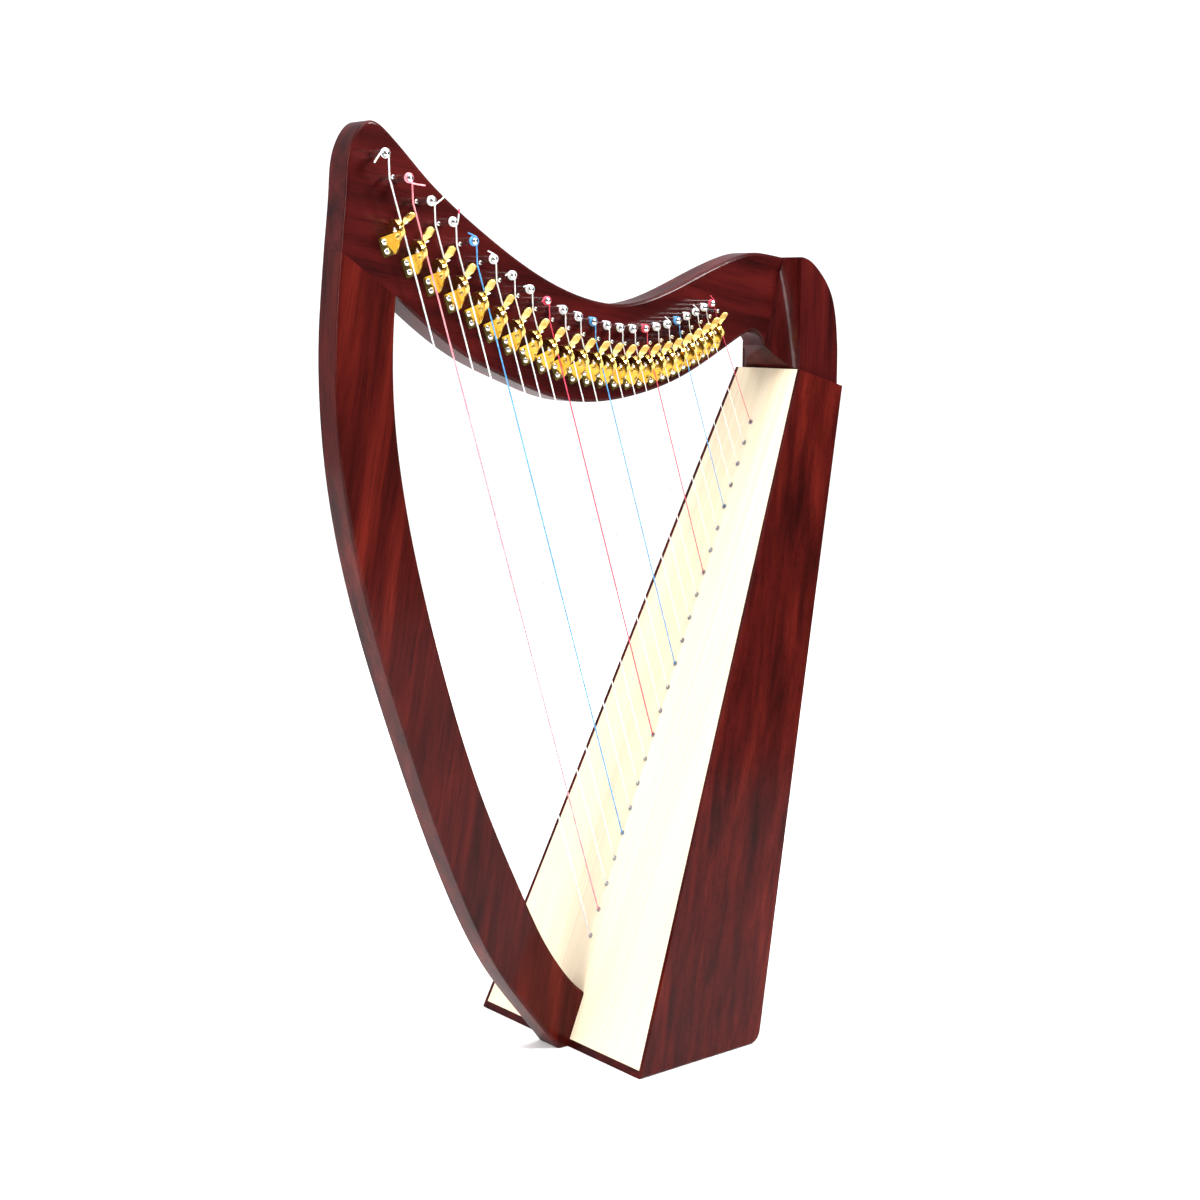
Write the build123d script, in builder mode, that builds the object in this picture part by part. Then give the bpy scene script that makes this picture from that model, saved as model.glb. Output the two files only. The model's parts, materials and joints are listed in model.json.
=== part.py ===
"""Lever harp: a small harp that stands on the flat base of its soundbox.

The frame is at the middle of the base. +X runs from the pillar to the back of
the soundbox, +Z is up, and the strings, levers and pin tips are on the -Y side
of the neck. All sizes are in millimetres.
"""
import math
import os

from build123d import *

os.makedirs("parts", exist_ok=True)

# Soundbox
base_depth = 164  # along X, from the soundboard's foot to the back
board_length = 741  # along the soundboard's slope
board_lean = 22.1  # degrees back from vertical
bottom_width = 270
top_width = 101
top_depth = 66.5
top_slope = 16.4  # degrees that the box's top falls towards the back
heel_radius = 15
side_thickness = 4.5
side_edge_radius = 2
board_thickness = 4
back_thickness = 5
base_thickness = 7

# Soundbox insides, as places along the board and sizes
rib_width = 20
rib_thickness = 4
rib_ends = (40, 700)
brace_places = (160, 310, 450, 580)
brace_width = 7
brace_height = 11
lining_size = 9

# Sound holes in the back: height on the panel, width, length
sound_holes = ((130, 74, 96), (290, 62, 84), (435, 50, 72), (560, 38, 60))

# Pillar, neck and shoulder
frame_thickness = 34
frame_edge_radius = 3
seam_outer = (-338, 800)
seam_inner = (-280, 760)
shoulder_top = (201, 803)
shoulder_low = (176, 711)
pillar_foot_height = 53
block_width = 90
block_back = 256
flare_middle_width = 50
tenon_depth = 25

# Strings, counted from the bass
string_count = 23
string_diameters = (1.6, 0.7)
first_hole = 113.5  # from the soundboard's foot
hole_gaps = (28, 23.5)  # along the board
bass_pin_x = -297.5
pin_gaps = (24.8, 10.4)  # along X
string_bend_radius = 2.5
string_tail = 10.7  # behind the board's face, to the knot
knot_radius = 2.4
grommet_radius = 2.2
grommet_bore = 1.3
flange_radius = 2.7
flange_height = 0.7
rib_hole_radius = 1.6

# Bridge pins and tuning pins
bridge_pin_radius = 1.9
bridge_pin_depth = 12
bridge_pin_overhang = 2.6
tuning_pin_radius = 3.2
tuning_pin_play = 0.05
tuning_pin_reach = 25.5  # beyond the neck's string side
tuning_pin_dome = 1.1
tuning_pin_head = 14  # square head beyond the other side
key_square = 5
coil_height = 20.5
string_clearance = 0.35
bridge_clearance = 0.1
tuning_gaps = (22.5, 11.5)  # from bridge pin to tuning pin

# Levers: heights are off the neck, sides are towards the treble
lever_share = 0.057  # of the string's length below the bridge pin
lever_least = 19.5
lever_string_height = 15
lever_string_side = 5.3  # just past the cam
pivot_height = 11.5
pivot_radius = 1.5
pivot_play = 0.05
pivot_end = 4
plate_thickness = 1.6
plate_radius = 10
foot_width = 14.5
foot_low, foot_high = -22.5, -4
foot_corner = 1.5
foot_gap = 2.2
cam_radius = 9.5
cam_low, cam_high = 0.7, 3.7
cam_groove = (0.6, 0.7)  # width and depth of the groove in its rim
hub_radius = 4
hub_low = 0.3
tab_thickness = 1.5
tab_reach = 30.5
tab_middle = 5.5
tab_neck_width = 5
tab_root = (1, 5.6)  # sides of the part that joins the cam
tab_root_end = 11
pad_length = 15
pad_width = 8
peg_radius = 0.9
peg_place = 8.6
peg_end = 9.8
open_angles = (24,) + (39,) * 22  # handle above the neck's normal, at rest
screw_places = (-8.8, -17.6)
screw_side_share = -0.62  # of the foot's width
screw_radius = 1.3
screw_depth = 9
screw_head = (3, 1.8)  # radius and height
rivet_head = (2.9, 1.7)
rivet_tail = (2.4, 0.6)

neck_face = -frame_thickness / 2


# ---- Layout


def direction_in_side_view(degrees_from_z):
    angle = math.radians(degrees_from_z)
    return Vector(math.sin(angle), 0, math.cos(angle))


board_up = direction_in_side_view(board_lean)
board_out = direction_in_side_view(board_lean - 90)
board_foot = Vector(-base_depth / 2, 0, 0)
board_top = board_foot + board_up * board_length
board_plane = Plane(origin=board_foot, x_dir=(0, -1, 0), z_dir=board_out)

back_foot = Vector(base_depth / 2, 0, 0)
back_top = board_top + direction_in_side_view(90 + top_slope) * top_depth
back_up = (back_top - back_foot).normalized()
back_out = Vector(back_up.Z, 0, -back_up.X)
back_plane = Plane(origin=back_foot, x_dir=(0, 1, 0), z_dir=back_out)

board_inside = board_plane.offset(-board_thickness)
back_inside = back_plane.offset(-back_thickness)
floor_inside = Plane.XY.offset(base_thickness)


def spread(start, gaps, count):
    """Places in a row whose gap changes evenly from the first to the last."""
    first, last = gaps
    places = [start]
    for step in range(count - 1):
        places.append(places[-1] + first + (last - first) * step / (count - 2))
    return places


def point_on_box_top(x):
    """Side-view point of the box's sloping top."""
    return x, board_top.Z - (x - board_top.X) * math.tan(math.radians(top_slope))


def point_at_x(curve, x):
    """Point of a left-to-right curve at the given x."""
    low, high = 0.0, 1.0
    for _ in range(30):
        middle = (low + high) / 2
        if (curve @ middle).X < x:
            low = middle
        else:
            high = middle
    return curve @ low


bridge_curve = Plane.XZ * Spline(
    (-305, 872), (-248, 825), (-200, 789), (-158, 760), (-98, 729.5),
    (-55, 718), (-15, 714), (31, 720.5), (68, 735), (98, 750),
)
hole_places = spread(first_hole, hole_gaps, string_count)
pin_places = spread(bass_pin_x, pin_gaps, string_count)


class StringLine:
    """Where one string, its pins and its lever are."""

    def __init__(self, index):
        share = index / (string_count - 1)
        bass, treble = string_diameters
        self.radius = (bass + (treble - bass) * share) / 2
        self.open_angle = open_angles[index]

        # the string's line in the side view
        bridge = point_at_x(bridge_curve, pin_places[index])
        self.end = board_foot + board_up * hole_places[index]
        run = self.end - bridge
        up = run.normalized() * -1
        side = Vector(up.Z, 0, -up.X)

        # the lever, and the height that gives the string the lever needs
        lever_gap = max(lever_share * run.length, lever_least)
        lever_foot = bridge - up * lever_gap - side * lever_string_side
        self.lever_plane = Plane(
            origin=(lever_foot.X, neck_face, lever_foot.Z), x_dir=side, z_dir=(0, -1, 0)
        )
        reach = (lever_string_height - neck_face) / (1 - lever_gap / run.length)
        self.string_height = reach + neck_face
        self.bend = Vector(bridge.X, -reach, bridge.Z)

        # the pins, as planes on the neck's string side
        bridge_pin = bridge + side * (bridge_pin_radius + self.radius + bridge_clearance)
        self.bridge_pin = Plane(origin=(bridge_pin.X, neck_face, bridge_pin.Z), z_dir=(0, -1, 0))
        bass_gap, treble_gap = tuning_gaps
        tuning_pin = bridge + up * (bass_gap + (treble_gap - bass_gap) * share**1.6)
        self.tuning_pin = Plane(origin=(tuning_pin.X, neck_face, tuning_pin.Z), z_dir=(0, -1, 0))
        start = tuning_pin + side * (tuning_pin_radius + self.radius + string_clearance)
        self.start = Vector(start.X, neck_face - coil_height, start.Z)


string_lines = [StringLine(index) for index in range(string_count)]


def save(piece, name):
    piece.label = name
    export_step(piece, f"parts/{name}.step")


# ---- Soundbox


def front_view(inset):
    """The soundbox seen square to its board, drawn on past both its ends."""
    growth = (top_width - bottom_width) / board_length
    low, high = -40, board_length + 40
    low_half = (bottom_width + growth * low) / 2 - inset
    high_half = (bottom_width + growth * high) / 2 - inset
    return Polygon(
        (-low_half, low), (low_half, low), (high_half, high), (-high_half, high), align=None
    )


def soundbox_blank(inset):
    """Solid soundbox with its heel rounded, each side moved in by inset."""
    with BuildPart() as blank:
        with BuildSketch(Plane.XZ) as side_view:
            corners = (board_foot, board_top, back_top, back_foot)
            Polygon(*[(corner.X, corner.Z) for corner in corners], align=None)
            fillet(side_view.vertices().group_by(Axis.Y)[0].sort_by(Axis.X)[-1], heel_radius)
        extrude(amount=bottom_width, both=True)
        with BuildSketch(board_plane):
            front_view(inset)
        extrude(amount=2 * base_depth, both=True, mode=Mode.INTERSECT)
    return blank.part


blank = soundbox_blank(0)
inner_blank = soundbox_blank(side_thickness)

for name, keep, outermost in (
    ("side_panel_left", Keep.TOP, 0),
    ("side_panel_right", Keep.BOTTOM, -1),
):
    with BuildPart() as side_panel:
        add(blank)
        add(inner_blank, mode=Mode.SUBTRACT)
        split(bisect_by=Plane.XZ, keep=keep)
        outer_face = side_panel.faces().sort_by(Axis.Y)[outermost]
        long_edges = outer_face.edges().filter_by(GeomType.LINE).sort_by(SortBy.LENGTH)[-2:]
        fillet(long_edges, side_edge_radius)
    save(side_panel.part, name)

with BuildPart() as base_plate:
    add(inner_blank)
    split(bisect_by=floor_inside, keep=Keep.BOTTOM)
save(base_plate.part, "base_plate")

with BuildPart() as soundboard:
    add(inner_blank)
    split(bisect_by=floor_inside, keep=Keep.TOP)
    split(bisect_by=board_inside, keep=Keep.TOP)
    with BuildSketch(board_plane):
        with Locations(*[(0, place) for place in hole_places]):
            Circle(grommet_radius)
    extrude(amount=-board_thickness, mode=Mode.SUBTRACT)
save(soundboard.part, "soundboard")

with BuildPart() as back_panel:
    add(inner_blank)
    split(bisect_by=floor_inside, keep=Keep.TOP)
    split(bisect_by=back_inside, keep=Keep.TOP)
    with BuildSketch(back_plane):
        for height, width, length in sound_holes:
            with Locations((0, height)):
                SlotOverall(length, width, rotation=90)
    extrude(amount=-back_thickness, mode=Mode.SUBTRACT)
save(back_panel.part, "back_panel")

# The rib behind the string holes, half braces beside it, and corner linings
with BuildPart() as soundbox_bracing:
    rib_low, rib_high = rib_ends
    with BuildSketch(board_inside):
        with Locations((0, (rib_low + rib_high) / 2)):
            Rectangle(rib_width, rib_high - rib_low)
        with Locations(*[(0, place) for place in hole_places]):
            Circle(rib_hole_radius, mode=Mode.SUBTRACT)
    extrude(amount=-rib_thickness)
    for place in brace_places:
        half_inside = (bottom_width + (top_width - bottom_width) * place / board_length) / 2
        length = half_inside - side_thickness - lining_size - rib_width / 2 - 2
        middle = rib_width / 2 + 1 + length / 2
        with BuildSketch(board_inside):
            with Locations((middle, place), (-middle, place)):
                Rectangle(length, brace_width)
        extrude(amount=-brace_height)
with BuildPart() as corner_linings:
    add(inner_blank)
    add(soundbox_blank(side_thickness + lining_size), mode=Mode.SUBTRACT)
    split(bisect_by=floor_inside, keep=Keep.TOP)
    split(bisect_by=board_inside, keep=Keep.BOTTOM)
    split(bisect_by=board_inside.offset(-lining_size), keep=Keep.TOP)
    lining_top = Plane(origin=board_up * rib_high + board_foot, z_dir=board_up)
    split(bisect_by=lining_top, keep=Keep.BOTTOM)
save(
    Compound(children=[*soundbox_bracing.solids(), *corner_linings.solids()]),
    "soundbox_bracing",
)

# ---- Shoulder block

with BuildPart() as shoulder_block:
    block_foot = point_on_box_top(shoulder_top[0])
    block_heel = point_on_box_top(block_back)
    with BuildSketch(Plane.XZ):
        with BuildLine():
            Line(block_foot, shoulder_top)
            Spline(
                shoulder_top, (226, 790), (246, 763), (255, 717), block_heel,
                tangents=((1, -0.1), (0, -1)),
            )
            Line(block_heel, block_foot)
        make_face()
    extrude(amount=block_width / 2, both=True)
    # hollow flare in front, from the neck's end to the block's full width
    seam = Edge.make_line(shoulder_low, shoulder_top)
    front = Edge.make_line(block_foot, (block_foot[0], shoulder_top[1])).moved(Location((1, 0)))
    for share, width in ((0, frame_thickness), (0.5, flare_middle_width), (1, block_width)):
        low = seam @ 0 * (1 - share) + front @ 0 * share
        rise = seam @ 1 * (1 - share) + front @ 1 * share - low
        section_plane = Plane(
            origin=(low.X, 0, low.Y), x_dir=(0, -1, 0), z_dir=(-rise.Y, 0, rise.X)
        )
        with BuildSketch(section_plane):
            with Locations((0, rise.length / 2)):
                Rectangle(width, rise.length)
    loft()
# Tenon between the soundboard and the back
with BuildPart() as shoulder_tenon:
    add(inner_blank)
    split(bisect_by=board_inside, keep=Keep.BOTTOM)
    split(bisect_by=back_inside, keep=Keep.BOTTOM)
    tenon_foot = Plane(origin=board_top - board_up * tenon_depth, z_dir=board_up)
    split(bisect_by=tenon_foot, keep=Keep.TOP)
with BuildPart() as shoulder:
    add(shoulder_block.part)
    add(shoulder_tenon.part)
save(shoulder.part, "shoulder_block")

# ---- Neck and pillar


def round_outline(piece):
    """Round the curved edges on both flat sides, and leave the joints sharp."""
    sides = piece.faces().filter_by(Axis.Y)
    curved = [edge for edge in sides.edges() if edge.geom_type != GeomType.LINE]
    fillet(curved, frame_edge_radius)


with BuildPart() as neck:
    with BuildSketch(Plane.XZ):
        with BuildLine():
            Spline(
                seam_outer, (-332, 858), (-325, 897), (-306, 917), (-284, 905), (-243, 866),
                (-186, 823), (-118, 782), (-57, 759), (-13, 754), (32, 763), (98, 789),
                (150, 806), shoulder_top,
                tangents=((0.1, 1), (1, -0.15)),
            )
            Line(shoulder_top, shoulder_low)
            Spline(
                shoulder_low, (171, 720), (160, 726), (146, 722), (127, 712), (60, 679),
                (7, 664), (-40, 658), (-94, 662), (-142, 678), (-200, 703), (-245, 732),
                seam_inner,
            )
            Line(seam_inner, seam_outer)
        make_face()
    extrude(amount=frame_thickness / 2, both=True)
    round_outline(neck)
    with Locations(*[line.tuning_pin for line in string_lines]):
        Hole(tuning_pin_radius + tuning_pin_play, 2 * frame_thickness)
save(neck.part, "neck")

with BuildPart() as pillar:
    foot_contact = board_foot + board_up * (pillar_foot_height / board_up.Z)
    foot_front = (-94, 0)
    with BuildSketch(Plane.XZ):
        with BuildLine():
            Spline(
                foot_front, (-123, 37), (-161, 87), (-209, 177), (-270, 335), (-317, 483),
                (-341, 610), (-345, 713), seam_outer,
                tangents=((-0.6, 0.8), (0.1, 1)),
            )
            Line(seam_outer, seam_inner)
            Spline(
                seam_inner, (-283, 666), (-272, 573), (-237, 428), (-185, 274), (-135, 164),
                (-105, 107), (-83, 76), (foot_contact.X, foot_contact.Z),
                tangents=((-0.1, -1), (0.75, -0.66)),
            )
            Line((foot_contact.X, foot_contact.Z), (board_foot.X, board_foot.Z))
            Line((board_foot.X, board_foot.Z), foot_front)
        make_face()
    extrude(amount=frame_thickness / 2, both=True)
    round_outline(pillar)
save(pillar.part, "pillar")

# ---- Strings and their grommets

grommets = []
strings = []
for line, place in zip(string_lines, hole_places):
    eyelet_plane = Plane(origin=line.end, x_dir=(0, -1, 0), z_dir=board_out)
    with BuildPart() as grommet:
        with BuildSketch(eyelet_plane):
            Circle(flange_radius)
        extrude(amount=flange_height)
        with BuildSketch(eyelet_plane):
            Circle(grommet_radius)
        extrude(amount=-board_thickness)
        with BuildSketch(eyelet_plane.offset(flange_height)):
            Circle(grommet_bore)
        extrude(amount=-board_thickness - flange_height, mode=Mode.SUBTRACT)
    grommets.append(grommet.part)

    mouth = line.end + board_out * (flange_height + 0.3)
    knot = line.end - board_out * string_tail
    with BuildPart() as string:
        with BuildLine():
            route = FilletPolyline(line.start, line.bend, mouth, knot, radius=string_bend_radius)
        with BuildSketch(Plane(origin=route @ 0, z_dir=route % 0)):
            Circle(line.radius)
        sweep()
        with Locations(Plane(origin=knot, z_dir=board_out)):
            Sphere(knot_radius)
    strings.append(string.part)
save(Compound(children=grommets), "string_grommets")
save(Compound(children=strings), "strings")

# ---- Pins and levers, each drawn on the neck's face: X to the treble, Y up the string, Z out


def turned(profile):
    """Round piece about Z from half of its outline, given as (radius, height) points."""
    with BuildPart() as piece:
        with BuildSketch(Plane.XZ):
            Polygon(*profile, align=None)
        revolve(axis=Axis.Z)
    return piece.part


def dome(radius, height):
    """Round head standing on Z = 0."""
    sphere_radius = (radius**2 + height**2) / (2 * height)
    with BuildPart() as piece:
        with Locations((0, 0, height - sphere_radius)):
            Sphere(sphere_radius)
        split(bisect_by=Plane.XY, keep=Keep.TOP)
    return piece.part


def bridge_pin_solid(line):
    top = line.string_height + bridge_pin_overhang
    return turned((
        (0, -bridge_pin_depth), (bridge_pin_radius, -bridge_pin_depth),
        (bridge_pin_radius, top - 0.7), (bridge_pin_radius - 0.7, top), (0, top),
    ))


def tuning_pin_solid():
    """Plain shaft with a string hole near its domed tip and a square head at the far end."""
    shaft_end = tuning_pin_reach - tuning_pin_dome
    with BuildPart() as piece:
        with BuildSketch(Plane.XY.offset(-frame_thickness)):
            Circle(tuning_pin_radius)
        extrude(amount=frame_thickness + shaft_end)
        with Locations((0, 0, shaft_end)):
            add(dome(tuning_pin_radius, tuning_pin_dome))
        with BuildSketch(Plane.XY.offset(-frame_thickness)):
            Rectangle(key_square, key_square)
        extrude(amount=-tuning_pin_head)
        chamfer(piece.faces().sort_by(Axis.Z)[0].edges(), 0.6)
        with Locations(Location((0, 0, coil_height - 1), (0, 90, 0))):
            Hole(string_diameters[0] / 2 + 0.1, tuning_pin_radius * 4)
    return piece.part


def screw_spots(width):
    return [(screw_side_share * width, place, plate_thickness) for place in screw_places]


def lever_bracket_solid(width):
    """Foot on the neck with a round standing plate at its treble edge."""
    foot_middle = (foot_low + foot_high) / 2
    with BuildPart() as piece:
        with BuildSketch():
            with Locations((-width / 2, foot_middle)):
                Rectangle(width, foot_high - foot_low)
        extrude(amount=plate_thickness)
        corners = piece.edges().filter_by(Axis.Z).group_by(Axis.X)[0]
        fillet(corners, foot_corner)
        with Locations(*screw_spots(width)):
            Hole(screw_radius, plate_thickness)
        with BuildSketch(Plane.YZ.offset(-plate_thickness)):
            with Locations((0, pivot_height)):
                Circle(plate_radius)
            with Locations((foot_middle, plate_thickness / 2)):
                Rectangle(foot_high - foot_low, plate_thickness)
            make_hull()
            with Locations((0, pivot_height)):
                Circle(pivot_radius, mode=Mode.SUBTRACT)
        extrude(amount=plate_thickness)
    return piece.part


def lever_fastener_solids(width):
    """Two wood screws and the pivot rivet of one lever."""
    head_radius, head_height = screw_head
    with BuildPart() as screw:
        with BuildSketch():
            Circle(screw_radius)
        extrude(amount=-plate_thickness - screw_depth)
        add(dome(head_radius, head_height))
        with BuildSketch(Plane.XY.offset(head_height)):
            Rectangle(2.6, 0.6)
            Rectangle(0.6, 2.6)
        extrude(amount=-0.8, mode=Mode.SUBTRACT)
    with BuildPart() as rivet:
        with BuildSketch(Plane.XY.offset(-plate_thickness)):
            Circle(pivot_radius)
        extrude(amount=plate_thickness + pivot_end)
        with Locations(Location((0, 0, -plate_thickness), (180, 0, 0))):
            add(dome(*rivet_head))
        with Locations((0, 0, pivot_end)):
            add(dome(*rivet_tail))
    with BuildPart() as fasteners:
        with Locations(*screw_spots(width)):
            add(screw.part)
        with Locations(Location((0, 0, pivot_height), (0, 90, 0))):
            add(rivet.part)
    return fasteners.part


def lever_solid(open_angle):
    """Cam disc on its hub, with the bent handle and the peg at the handle's root."""
    root_start, neck_end = cam_radius - 1, tab_reach - pad_length + 3
    with BuildPart() as piece:
        with BuildSketch(Plane.YZ.offset(cam_low)):
            Circle(cam_radius)
        extrude(amount=cam_high - cam_low)
        groove_width, groove_depth = cam_groove
        with BuildSketch(Plane.YZ.offset((cam_low + cam_high - groove_width) / 2)):
            Circle(cam_radius)
            Circle(cam_radius - groove_depth, mode=Mode.SUBTRACT)
        extrude(amount=groove_width, mode=Mode.SUBTRACT)
        with BuildSketch(Plane.YZ.offset(hub_low)):
            Circle(hub_radius)
        extrude(amount=cam_low - hub_low)
        with BuildSketch(Plane.XZ.offset(-tab_thickness / 2)):
            root_near, root_far = tab_root
            with Locations(((root_near + root_far) / 2, (root_start + tab_root_end + 2) / 2)):
                Rectangle(root_far - root_near, tab_root_end + 2 - root_start)
            with Locations((tab_middle, (tab_root_end + neck_end) / 2)):
                Rectangle(tab_neck_width, neck_end - tab_root_end)
            with Locations((tab_middle, tab_reach - pad_length / 2)):
                SlotOverall(pad_length, pad_width, rotation=90)
        extrude(amount=tab_thickness)
        with BuildSketch(Plane.YZ.offset(cam_high)):
            with Locations((0, peg_place)):
                Circle(peg_radius)
        extrude(amount=peg_end - cam_high)
        with BuildSketch(Plane.YZ.offset(hub_low)):
            Circle(pivot_radius + pivot_play)
        extrude(amount=cam_high - hub_low, mode=Mode.SUBTRACT)
    with BuildPart() as raised:
        with Locations(Location((0, 0, pivot_height), (-open_angle, 0, 0))):
            add(piece.part)
    return raised.part


tuning_pin_shape = tuning_pin_solid()
bridge_pins, lever_brackets, lever_fasteners = [], [], []
for index, line in enumerate(string_lines):
    neighbour = string_lines[max(index, 1) - 1]
    gap = abs((line if index else string_lines[1]).lever_plane.to_local_coords(
        neighbour.lever_plane.origin).X)
    width = min(foot_width, gap - foot_gap)
    number = f"{index + 1:02d}"
    with BuildPart() as bridge_pin:
        with Locations(line.bridge_pin):
            add(bridge_pin_solid(line))
    bridge_pins.append(bridge_pin.part)
    with BuildPart() as bracket:
        with Locations(line.lever_plane):
            add(lever_bracket_solid(width))
    lever_brackets.append(bracket.part)
    with BuildPart() as fasteners:
        with Locations(line.lever_plane):
            add(lever_fastener_solids(width))
    lever_fasteners.extend(fasteners.solids())
    with BuildPart() as lever:
        with Locations(line.lever_plane):
            add(lever_solid(line.open_angle))
    save(lever.part, f"lever_{number}")
    with BuildPart() as tuning_pin:
        with Locations(line.tuning_pin):
            add(tuning_pin_shape)
    save(tuning_pin.part, f"tuning_pin_{number}")
save(Compound(children=bridge_pins), "bridge_pins")
save(Compound(children=lever_brackets), "lever_brackets")
save(Compound(children=lever_fasteners), "lever_fasteners")

for index, line in enumerate(string_lines):
    place, axis = line.lever_plane.origin, line.lever_plane.x_dir
    pivot = place + Vector(0, -pivot_height, 0)
    print(
        f"string {index + 1:2d}: speaking length {(line.end - line.bend).length:.0f},"
        f" lever pivot {pivot.X:.2f} {pivot.Y:.2f} {pivot.Z:.2f},"
        f" axis {axis.X:.4f} {axis.Z:.4f},"
        f" tuning pin {line.tuning_pin.origin.X:.2f} {line.tuning_pin.origin.Z:.2f}"
    )
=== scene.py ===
"""Lever harp: looks, strings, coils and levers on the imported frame. Units are metres."""
import json
import math

import bmesh
import bpy
from mathutils import Matrix, Vector


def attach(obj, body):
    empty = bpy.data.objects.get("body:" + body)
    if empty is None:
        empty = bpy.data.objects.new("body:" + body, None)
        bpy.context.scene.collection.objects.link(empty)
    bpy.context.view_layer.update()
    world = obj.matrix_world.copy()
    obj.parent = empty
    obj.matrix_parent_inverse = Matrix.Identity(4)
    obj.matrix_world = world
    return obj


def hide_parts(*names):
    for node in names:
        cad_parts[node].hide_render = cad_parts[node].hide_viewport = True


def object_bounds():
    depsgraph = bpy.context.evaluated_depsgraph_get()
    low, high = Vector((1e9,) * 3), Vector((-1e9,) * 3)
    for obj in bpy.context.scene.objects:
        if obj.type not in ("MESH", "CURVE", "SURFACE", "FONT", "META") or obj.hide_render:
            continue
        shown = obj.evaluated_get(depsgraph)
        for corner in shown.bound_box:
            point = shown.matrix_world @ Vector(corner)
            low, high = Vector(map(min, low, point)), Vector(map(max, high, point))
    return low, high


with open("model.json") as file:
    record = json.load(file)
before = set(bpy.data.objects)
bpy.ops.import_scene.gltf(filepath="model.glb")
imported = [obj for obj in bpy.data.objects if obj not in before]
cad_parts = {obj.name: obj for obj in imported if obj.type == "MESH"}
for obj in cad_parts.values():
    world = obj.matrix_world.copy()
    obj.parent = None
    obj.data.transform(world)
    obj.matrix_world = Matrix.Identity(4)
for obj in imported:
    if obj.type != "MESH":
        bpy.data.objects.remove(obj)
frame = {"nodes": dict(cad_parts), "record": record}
cad_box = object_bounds()
scene = bpy.context.scene
nodes = frame["nodes"]
joints = {joint["name"]: joint for joint in frame["record"]["behaviour"]["joints"]}

MM = 0.001
STRING_COUNT = 23
RED = (2, 9, 16, 23)
BLUE = (5, 12, 19)


# ---- Materials


class Nodes:
    """Short way to add and join the nodes of one material."""

    def __init__(self, name, **sockets):
        self.material = bpy.data.materials.new(name)
        self.material.use_nodes = True
        self.tree = self.material.node_tree
        self.shader = self.tree.nodes["Principled BSDF"]
        for socket, value in sockets.items():
            self.shader.inputs[socket.replace("_", " ")].default_value = value

    def add(self, kind, inputs=None, **settings):
        node = self.tree.nodes.new(kind)
        for key, value in settings.items():
            setattr(node, key, value)
        for socket, value in (inputs or {}).items():
            if isinstance(value, bpy.types.NodeSocket):
                self.tree.links.new(value, node.inputs[socket])
            else:
                node.inputs[socket].default_value = value
        return node

    def place(self, rotation=(0, 0, 0), scale=(1, 1, 1)):
        """Object coordinates turned and stretched."""
        coordinates = self.add("ShaderNodeTexCoord").outputs["Object"]
        turned = self.add("ShaderNodeMapping", {"Vector": coordinates, "Rotation": rotation})
        return self.add(
            "ShaderNodeMapping", {"Vector": turned.outputs[0], "Scale": scale}
        ).outputs[0]

    def noise(self, vector, scale, detail=4, roughness=0.5, distortion=0):
        return self.add(
            "ShaderNodeTexNoise",
            {"Vector": vector, "Scale": scale, "Detail": detail, "Roughness": roughness,
             "Distortion": distortion},
        ).outputs["Fac"]

    def ramp(self, value, *stops):
        """Colour ramp from (place, colour) stops."""
        node = self.add("ShaderNodeValToRGB", {"Fac": value})
        elements = node.color_ramp.elements
        while len(elements) < len(stops):
            elements.new(0.5)
        for element, (place, colour) in zip(elements, stops):
            element.position = place
            element.color = (*colour, 1) if isinstance(colour, tuple) else (colour,) * 3 + (1,)
        return node.outputs["Color"]

    def mix(self, blend, factor, first, second):
        node = self.add("ShaderNodeMix", data_type="RGBA", blend_type=blend)
        for index, value in ((0, factor), (6, first), (7, second)):
            if isinstance(value, bpy.types.NodeSocket):
                self.tree.links.new(value, node.inputs[index])
            else:
                node.inputs[index].default_value = value if index == 0 else (*value, 1)
        return node.outputs[2]

    def join(self, **sockets):
        for socket, output in sockets.items():
            self.tree.links.new(output, self.shader.inputs[socket.replace("_", " ")])

    def bump(self, height, strength, distance):
        node = self.add(
            "ShaderNodeBump", {"Height": height, "Strength": strength, "Distance": distance}
        )
        self.join(Normal=node.outputs[0])


def mahogany(name, turn, dark, middle, light, streak=1.0):
    """Lacquered mahogany with its grain along the turned X axis."""
    wood = Nodes(name, Coat_Weight=0.2, Coat_Roughness=0.14, Specular_IOR_Level=0.02)
    broad = wood.place(turn, (0.9, 9, 9))
    fine = wood.place(turn, (5, 150, 150))
    pores = wood.place(turn, (22, 900, 900))
    figure = wood.noise(broad, 5, 5, 0.55, 0.35)
    colour = wood.ramp(figure, (0.30, dark), (0.50, middle), (0.72, light))
    streaks = wood.ramp(wood.noise(fine, 1, 6, 0.6, 0.2), (0.30, 0.55), (0.62, 1.0))
    colour = wood.mix("MULTIPLY", 0.75 * streak, colour, streaks)
    pore_noise = wood.noise(pores, 1, 3, 0.6)
    specks = wood.ramp(pore_noise, (0.36, 0.30), (0.46, 1.0))
    colour = wood.mix("MULTIPLY", 0.55, colour, specks)
    roughness = wood.ramp(pore_noise, (0.3, 0.46), (0.6, 0.34))
    wood.join(Base_Color=colour, Roughness=roughness)
    wood.bump(pore_noise, 0.12, 0.0002)
    return wood.material


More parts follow.
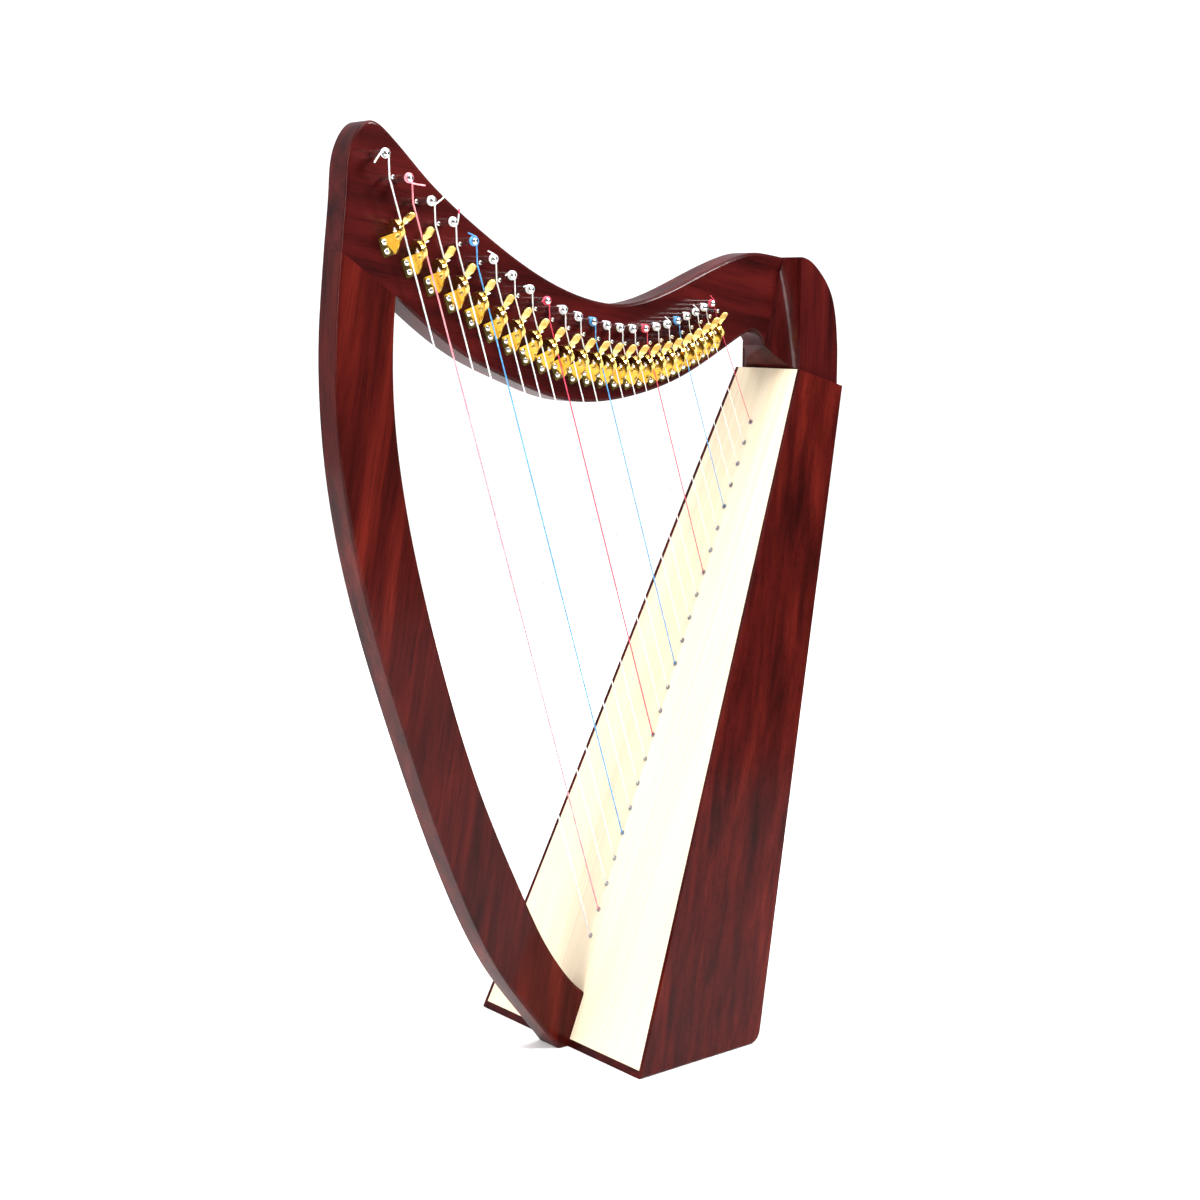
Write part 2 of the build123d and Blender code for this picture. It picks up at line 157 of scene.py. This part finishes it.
def spruce(name, turn, dark, light):
    """Pale soundboard with close straight grain along the turned X axis."""
    wood = Nodes(name, Specular_IOR_Level=0.15)
    lines = wood.noise(wood.place(turn, (0.6, 330, 330)), 1, 3, 0.6, 0.1)
    broad = wood.noise(wood.place(turn, (1.2, 14, 14)), 3, 4, 0.5, 0.4)
    colour = wood.ramp(lines, (0.34, dark), (0.60, light))
    shade = wood.ramp(broad, (0.30, (0.95, 0.92, 0.88)), (0.70, (1, 1, 1)))
    wood.join(
        Base_Color=wood.mix("MULTIPLY", 0.9, colour, shade),
        Roughness=wood.ramp(lines, (0.3, 0.52), (0.7, 0.40)),
    )
    wood.bump(lines, 0.06, 0.0001)
    return wood.material


def metal(name, dark, light, rough):
    """Polished metal with a faint handling haze."""
    piece = Nodes(name, Metallic=1.0)
    haze = piece.noise(piece.place(), 60, 5, 0.6)
    piece.join(
        Base_Color=piece.ramp(haze, (0.3, dark), (0.7, light)),
        Roughness=piece.ramp(haze, (0.3, rough * 0.7), (0.7, rough * 1.5)),
    )
    piece.bump(piece.noise(piece.place(), 900, 2), 0.04, 0.00005)
    return piece.material


def nylon(name, dark, light, milky):
    """Smooth monofilament that glows a little where light falls through it."""
    cord = Nodes(name, Subsurface_Weight=milky, Subsurface_Scale=0.001, IOR=1.53, Coat_Weight=0.2)
    tone = cord.noise(cord.place(), 140, 3)
    cord.join(
        Base_Color=cord.ramp(tone, (0.35, dark), (0.65, light)),
        Roughness=cord.ramp(tone, (0.3, 0.20), (0.7, 0.32)),
    )
    return cord.material


def leaning(degrees):
    """Rotation that lays the texture's X axis along a direction in the XZ plane."""
    return (0, math.radians(degrees), 0)


MAHOGANY = (0.019, 0.0020, 0.0020), (0.046, 0.0040, 0.0038), (0.082, 0.0078, 0.0066)
REDDER = (0.021, 0.0020, 0.0016), (0.056, 0.0044, 0.0032), (0.108, 0.0095, 0.0058)
materials = {
    "pillar": mahogany("pillar mahogany", leaning(80), *REDDER),
    "neck": mahogany("neck mahogany", leaning(-10), *MAHOGANY, 0.45),
    "shoulder_block": mahogany("block mahogany", leaning(88), *MAHOGANY),
    "side_panel_left": mahogany("side mahogany", leaning(75), *REDDER, 1.2),
    "base_plate": mahogany("base mahogany", (0, 0, 0), *MAHOGANY),
    "back_panel": mahogany("back mahogany", leaning(75), *REDDER),
    "soundboard": spruce("spruce", leaning(68), (0.86, 0.72, 0.50), (0.93, 0.81, 0.61)),
    "soundbox_bracing": spruce("brace spruce", leaning(68), (0.60, 0.43, 0.25), (0.78, 0.60, 0.38)),
    "string_grommets": metal("grommet steel", (0.30, 0.30, 0.31), (0.50, 0.50, 0.51), 0.30),
    "bridge_pins": metal("pin steel", (0.72, 0.72, 0.73), (0.88, 0.88, 0.88), 0.16),
    "lever_brackets": metal("lever brass", (0.76, 0.52, 0.13), (0.92, 0.71, 0.26), 0.15),
    "lever_fasteners": metal("screw steel", (0.74, 0.73, 0.72), (0.90, 0.89, 0.87), 0.15),
}
materials["side_panel_right"] = materials["side_panel_left"]
NYLON = {
    "string_plain": nylon("clear nylon", (0.66, 0.66, 0.66), (0.78, 0.78, 0.77), 0.35),
    "string_pink": nylon("pink nylon", (0.80, 0.22, 0.28), (0.92, 0.34, 0.38), 0.25),
    "string_red": nylon("red nylon", (0.50, 0.02, 0.05), (0.68, 0.04, 0.10), 0.15),
    "string_blue": nylon("blue nylon", (0.04, 0.24, 0.52), (0.10, 0.38, 0.75), 0.15),
}
brass, screw_steel = materials["lever_brackets"], materials["lever_fasteners"]
for number in range(1, STRING_COUNT + 1):
    materials[f"tuning_pin_{number:02d}"] = materials["bridge_pins"]

for name, material in materials.items():
    nodes[name].data.materials.clear()
    nodes[name].data.materials.append(material)


# ---- Layout of the strings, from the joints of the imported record

BOARD_LEAN = math.radians(22.1)
BOARD_UP = Vector((math.sin(BOARD_LEAN), 0, math.cos(BOARD_LEAN)))
BOARD_OUT = Vector((-BOARD_UP.z, 0, BOARD_UP.x))
BOARD_FOOT = Vector((-82 * MM, 0, 0))
OUT = Vector((0, -1, 0))
FIRST_HOLE = 113.5  # along the soundboard from its foot
WIDEST_GAP = 28  # between the two longest strings' holes
GAP_LOSS = 4.5  # from there to the two shortest
THICKEST, THINNEST = 1.6, 0.7  # string diameters
NECK_FACE = 17 * MM
PIN_RADIUS = 3.2 * MM
COIL_HEIGHT = 20.5 * MM  # of a coil's first turn above the neck's face
COIL_TOP = 23.8 * MM
LEVER_SHARE = 0.057  # of the string's length between bridge pin and lever
LEVER_LEAST = 19.5 * MM
STRING_SIDE = 5.3 * MM  # from the lever's plate
STRING_OUT = 32 * MM  # from the harp's middle plane, at the lever
EYELET_TOP = 1.0 * MM
TAIL_DEPTH = 10.7 * MM  # behind the soundboard
BEND_REACH = 3 * MM  # of the bend at the bridge pin
EYELET_REACH = 1.2 * MM  # of the bend at the soundboard


def string_places():
    """Each string's hole, counted along the soundboard from the bass."""
    place, places = FIRST_HOLE * MM, []
    for step in range(STRING_COUNT):
        places.append(place)
        place += (WIDEST_GAP - GAP_LOSS * step / (STRING_COUNT - 2)) * MM
    return places


class StringLine:
    """One string's route, its pin and its lever's own axes."""

    def __init__(self, number, place):
        lever, pin = joints[f"lever_{number:02d}_flip"], joints[f"tuning_pin_{number:02d}_turn"]
        share = (number - 1) / (STRING_COUNT - 1)
        self.number = number
        self.radius = (THICKEST - (THICKEST - THINNEST) * share) / 2 * MM
        self.side = Vector(lever["axis"])
        self.up = Vector((-self.side.z, 0, self.side.x))
        self.pivot = Vector(lever["pos_m"])
        self.pin = Vector(pin["pos_m"])
        self.end = BOARD_FOOT + BOARD_UP * place
        passing = self.pivot + self.side * STRING_SIDE
        reach = math.dist((passing.x, passing.z), (self.end.x, self.end.z))
        length = max(reach / (1 - LEVER_SHARE), reach + LEVER_LEAST)
        self.bend = passing + self.up * (length - reach)
        self.bend.y = -STRING_OUT * length / reach
        self.start = self.pin + self.side * (PIN_RADIUS + self.radius + 0.35 * MM)
        self.start.y = -NECK_FACE - COIL_HEIGHT

    @property
    def colour(self):
        if self.number == 2:
            return "string_pink"
        if self.number in RED:
            return "string_red"
        return "string_blue" if self.number in BLUE else "string_plain"


lines = [StringLine(number, place) for number, place in enumerate(string_places(), 1)]


def thread(name, points, radius, body, colour):
    """Round thread on one smooth line."""
    curve = bpy.data.curves.new(name, "CURVE")
    curve.dimensions = "3D"
    curve.bevel_depth = radius
    curve.bevel_resolution = 3
    curve.resolution_u = 4
    curve.use_fill_caps = True
    spline = curve.splines.new("NURBS")
    spline.points.add(len(points) - 1)
    for point, place in zip(spline.points, points):
        point.co = (*place, 1)
    spline.order_u = 3
    spline.use_endpoint_u = True
    curve.materials.append(NYLON[colour])
    piece = bpy.data.objects.new(name, curve)
    scene.collection.objects.link(piece)
    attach(piece, body)
    return piece


def toward(start, end, distance):
    return start + (end - start).normalized() * distance


# ---- Strings, from the pin's coil over the bridge pin to the knot behind the board

for line in lines:
    mouth = line.end + BOARD_OUT * EYELET_TOP
    knot = line.end - BOARD_OUT * TAIL_DEPTH
    route = [
        line.start,
        toward(line.bend, line.start, BEND_REACH), line.bend, toward(line.bend, mouth, BEND_REACH),
        toward(mouth, line.bend, EYELET_REACH), mouth, toward(mouth, knot, EYELET_REACH),
        knot,
    ]
    string = thread(f"string_{line.number:02d}", route, line.radius, "frame", line.colour)
    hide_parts("strings")

# ---- Coils on the tuning pins, with their cut tails: direction from +X towards +Z, and length

TAILS = {
    1: (222, 16), 2: (-14, 16), 3: (32, 12), 4: (84, 12), 5: (155, 11), 6: (155, 11), 7: (198, 10),
    8: (184, 10), 9: (208, 8), 10: (176, 10), 11: (168, 9), 18: (146, 9), 21: (150, 9), 23: (142, 9),
}

USUAL_TAIL = (172, 9)
STEPS_PER_TURN = 14
COIL_GAP = 0.05 * MM  # between the pin and the coil
FIRST_SLACK = 0.3 * MM  # more of it where the string arrives


def coil_route(line, heading, tail):
    """Points of the turns, which climb from the string's end, and of the cut tail."""
    turns = (heading - math.pi / 2) % math.tau + math.tau
    pitch = 2.1 * line.radius
    while COIL_HEIGHT + pitch * (turns + math.tau) / math.tau < COIL_TOP:
        turns += math.tau
    points = []
    steps = round(STEPS_PER_TURN * turns / math.tau)
    for step in range(steps + 1):
        angle = turns * step / steps
        slack = FIRST_SLACK * max(0.0, 1 - angle / 2)
        around = line.side * math.cos(angle) + line.up * math.sin(angle)
        height = NECK_FACE + COIL_HEIGHT + pitch * angle / math.tau
        centre = Vector((line.pin.x, 0, line.pin.z)) + OUT * height
        points.append(centre + around * (PIN_RADIUS + line.radius + COIL_GAP + slack))
    away = line.side * math.cos(heading) + line.up * math.sin(heading)
    cut, droop = points[-1], points[-1] - centre
    for share in (0.3, 0.65, 1.0):
        points.append(
            cut + away * tail * share * MM - droop * 0.25 * share**2 * tail / 10
            + OUT * 2.2 * share * MM
        )
    return points


for line in lines:
    heading, tail = TAILS.get(line.number, USUAL_TAIL)
    heading = math.radians(heading) - math.atan2(line.side.z, line.side.x)
    points = coil_route(line, heading, tail)
    pin = f"tuning_pin_{line.number:02d}"
    thread(f"coil_{line.number:02d}", points, line.radius, pin, line.colour)
    if line.number == 4:
        thread("coil_04_tip", points[-2:], line.radius * 1.06, pin, "string_red")

# ---- Levers: a grooved cam with a twisted strap that ends in a round finger pad


SECTION_POINTS = 16


def rounded_section(width, thickness):
    """Rounded rectangle, as (across, through) points."""
    points = []
    for index in range(SECTION_POINTS):
        angle = math.tau * (index + 0.5) / SECTION_POINTS
        c, s = math.cos(angle), math.sin(angle)
        points.append((
            width / 2 * math.copysign(abs(c) ** 0.45, c),
            thickness / 2 * math.copysign(abs(s) ** 0.6, s),
        ))
    return points


def loop_faces(mesh, rings):
    """Closed skin over rings of vertices, capped at both ends."""
    for first, second in zip(rings, rings[1:]):
        for index in range(len(first)):
            follower = (index + 1) % len(first)
            mesh.faces.new((first[index], first[follower], second[follower], second[index]))
    mesh.faces.new(reversed(rings[0]))
    mesh.faces.new(rings[-1])


def turned(mesh, profile, material, segments, lift=0):
    """Ring turned about a line along X from a closed (radius, x) outline."""
    rings = []
    for segment in range(segments):
        angle = math.tau * segment / segments
        c, s = math.cos(angle), math.sin(angle)
        rings.append([mesh.verts.new((x, r * c, r * s + lift)) for r, x in profile])
    for segment, ring in enumerate(rings):
        following = rings[(segment + 1) % segments]
        for index in range(len(profile)):
            after = (index + 1) % len(profile)
            face = mesh.faces.new((ring[index], ring[after], following[after], following[index]))
            face.material_index = material


# (radius, x) outlines, x from the bracket's plate towards the treble
CAM_OUTLINE = (
    (1.6, 0.4), (3.6, 0.4), (3.9, 0.7), (9.1, 0.7), (9.5, 1.0), (9.5, 1.6), (9.25, 1.9),
    (8.9, 2.05), (8.9, 2.35), (9.25, 2.5), (9.5, 2.8), (9.5, 3.4), (9.1, 3.7), (8.3, 3.7),
    (8.0, 3.45), (4.4, 3.45), (4.1, 3.7), (1.6, 3.7),
)
PEG_OUTLINE = ((0.0001, 9.8), (0.6, 9.8), (0.9, 9.5), (0.9, 3.5), (0.0001, 3.5))
PEG_PLACE = 8.6  # from the pivot
BRASS_FACES, STEEL_FACES = 0, 1
STRAP_STATIONS = 30
STRAP_START, STRAP_END = 7.6, 30.4
TIP_START, TIP_LENGTH = 26.4, 4
ROOT_WIDTH, PAD_WIDTH = 3.6, 8
ROOT_MIDDLE, PAD_SHIFT = 2.2, 3.3  # the pad stands further to the treble than the root
PAD_CUP = 0.7
OPEN_ANGLE, FIRST_OPEN_ANGLE = 39, 24


def eased(share):
    """Smooth step of a share held between 0 and 1."""
    share = min(max(share, 0), 1)
    return share * share * (3 - 2 * share)


def strap_ring(mesh, share):
    """One cross-section of the strap, which twists on its way from the cam to the pad."""
    along = STRAP_START + (STRAP_END - STRAP_START) * share
    angle = -math.radians(90 - 55 * eased((along - 10) / 7))
    pad = min(max((along - 14) / 5, 0), 1)
    tip = max(0.0, (along - TIP_START) / TIP_LENGTH)
    width = ROOT_WIDTH + (PAD_WIDTH - ROOT_WIDTH) * eased(pad)
    width *= math.sqrt(max(0.0, 1 - tip * tip)) * 0.97 + 0.03
    middle = ROOT_MIDDLE + PAD_SHIFT * pad
    cup = PAD_CUP * pad * math.sin(math.pi * share)
    return [
        mesh.verts.new((
            middle + across * math.cos(angle) - through * math.sin(angle),
            across * math.sin(angle) + through * math.cos(angle) + cup,
            along,
        ))
        for across, through in rounded_section(width, 1.35 + 0.25 * pad)
    ]


def lever_mesh(open_angle):
    """Lever about its pivot: X along the pivot, Y up the string, Z out, handle raised."""
    mesh = bmesh.new()
    turned(mesh, CAM_OUTLINE, BRASS_FACES, 40)
    loop_faces(mesh, [strap_ring(mesh, n / STRAP_STATIONS) for n in range(STRAP_STATIONS + 1)])
    turned(mesh, PEG_OUTLINE, STEEL_FACES, 16, PEG_PLACE)
    bmesh.ops.recalc_face_normals(mesh, faces=mesh.faces)
    for vertex in mesh.verts:
        vertex.co = Matrix.Rotation(-open_angle, 3, "X") @ vertex.co * MM
    data = bpy.data.meshes.new("lever")
    mesh.to_mesh(data)
    mesh.free()
    for polygon in data.polygons:
        polygon.use_smooth = True
    data.materials.append(brass)
    data.materials.append(screw_steel)
    return data


for line in lines:
    name = f"lever_{line.number:02d}"
    data = lever_mesh(math.radians(FIRST_OPEN_ANGLE if line.number == 1 else OPEN_ANGLE))
    data.name = f"{name}_mesh"
    place = Matrix((line.side, line.up, OUT)).transposed().to_4x4()
    data.transform(Matrix.Translation(line.pivot) @ place)
    lever = bpy.data.objects.new(f"{name}_handle", data)
    scene.collection.objects.link(lever)
    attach(lever, name)
    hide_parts(name)


# ---- Floor, light and camera

FLOOR_SIZE = 2.6  # from the middle to each side
FLOOR_GAP = 0.0005  # below the harp's base
PAPER_GREYS = (0.90, 0.93)


def paper():
    """Matt white paper that glows a little, and more away from the harp."""
    sheet = Nodes("paper", Specular_IOR_Level=0.1, Emission_Color=(1, 1, 1, 1))
    away = sheet.add("ShaderNodeVectorMath", {"Vector": sheet.place()}, operation="LENGTH")
    glow = sheet.add(
        "ShaderNodeMapRange",
        {"Value": away.outputs["Value"], "From Min": 0.9, "From Max": 2.2, "To Min": 0.12,
         "To Max": 0.75},
    )
    darker, lighter = PAPER_GREYS
    sheet.join(
        Emission_Strength=glow.outputs[0],
        Base_Color=sheet.ramp(sheet.noise(sheet.place(), 6, 3), (0.3, darker), (0.7, lighter)),
        Roughness=sheet.ramp(sheet.noise(sheet.place(), 40, 3), (0.3, 0.8), (0.7, 0.9)),
    )
    return sheet.material


floor_mesh = bpy.data.meshes.new("floor")
mesh = bmesh.new()
bmesh.ops.create_grid(mesh, x_segments=1, y_segments=1, size=FLOOR_SIZE)
mesh.to_mesh(floor_mesh)
mesh.free()
floor = bpy.data.objects.new("floor", floor_mesh)
floor.location.z = cad_box[0][2] - FLOOR_GAP
scene.collection.objects.link(floor)
floor_mesh.materials.append(paper())


def studio():
    """Dim walls, a lit backdrop on the far side and a plain white sky for the camera."""
    world = bpy.data.worlds.new("studio")
    world.use_nodes = True
    room = world.node_tree
    direction = room.nodes.new("ShaderNodeTexCoord").outputs["Generated"]
    parts = room.nodes.new("ShaderNodeSeparateXYZ")
    height = room.nodes.new("ShaderNodeMapRange")
    height.inputs["From Min"].default_value = -1
    walls = room.nodes.new("ShaderNodeValToRGB")
    for place, grey in ((0.47, 0.10), (0.55, 0.05), (0.70, 0.25)):
        walls.color_ramp.elements.new(place).color = (grey, grey, grey, 1)
    walls.color_ramp.elements[0].color = (0.1, 0.1, 0.1, 1)
    walls.color_ramp.elements[-1].color = (0.9, 0.9, 0.92, 1)
    behind = room.nodes.new("ShaderNodeMapRange")
    behind.inputs["From Min"].default_value = 0.1
    behind.inputs["From Max"].default_value = 0.5
    backdrop = room.nodes.new("ShaderNodeMix")
    backdrop.data_type = "RGBA"
    backdrop.inputs[7].default_value = (0.85, 0.85, 0.9, 1)
    sky = room.nodes.new("ShaderNodeMix")
    sky.data_type = "RGBA"
    sky.inputs[7].default_value = (1.2, 1.2, 1.2, 1)
    seen = room.nodes.new("ShaderNodeLightPath").outputs["Is Camera Ray"]
    for output, socket in (
        (direction, parts.inputs[0]),
        (parts.outputs["Z"], height.inputs["Value"]), (height.outputs[0], walls.inputs["Fac"]),
        (parts.outputs["Y"], behind.inputs["Value"]), (behind.outputs[0], backdrop.inputs[0]),
        (walls.outputs[0], backdrop.inputs[6]), (backdrop.outputs[2], sky.inputs[6]),
        (seen, sky.inputs[0]), (sky.outputs[2], room.nodes["Background"].inputs["Color"]),
    ):
        room.links.new(output, socket)
    return world


scene.world = studio()


def softbox(name, place, target, size, power, spread=180):
    light = bpy.data.lights.new(name, "AREA")
    light.shape = "RECTANGLE"
    light.size, light.size_y = size
    light.energy = power
    light.spread = math.radians(spread)
    lamp = bpy.data.objects.new(name, light)
    lamp.location = place
    lamp.rotation_euler = (Vector(target) - Vector(place)).to_track_quat("-Z", "Y").to_euler()
    scene.collection.objects.link(lamp)


softbox("key", (1.0, -1.9, 2.2), (-0.15, 0, 0.9), (0.7, 0.9), 24, 80)
softbox("left strip", (-2.3, -0.3, 1.3), (-0.2, 0, 0.6), (0.4, 1.4), 30)
softbox("top", (-0.2, -0.3, 3.0), (0, 0, 0), (2.6, 2.6), 105)

CAMERA_HEADING, CAMERA_DIP, CAMERA_ROLL = -38.07, 8.27, 0.25
FOCAL_LENGTH = 62.397
SENSOR_WIDTH = 36

lens = bpy.data.cameras.new("camera")
lens.sensor_width = SENSOR_WIDTH
lens.lens = FOCAL_LENGTH
camera = bpy.data.objects.new("camera", lens)
camera.location = (-1.3195, -1.6476, 0.7601)
camera.rotation_euler = (
    Matrix.Rotation(math.radians(CAMERA_HEADING), 3, "Z")
    @ Matrix.Rotation(math.radians(90 - CAMERA_DIP), 3, "X")
    @ Matrix.Rotation(math.radians(CAMERA_ROLL), 3, "Z")
).to_euler()
scene.collection.objects.link(camera)
scene.camera = camera
scene.view_settings.view_transform = "Standard"
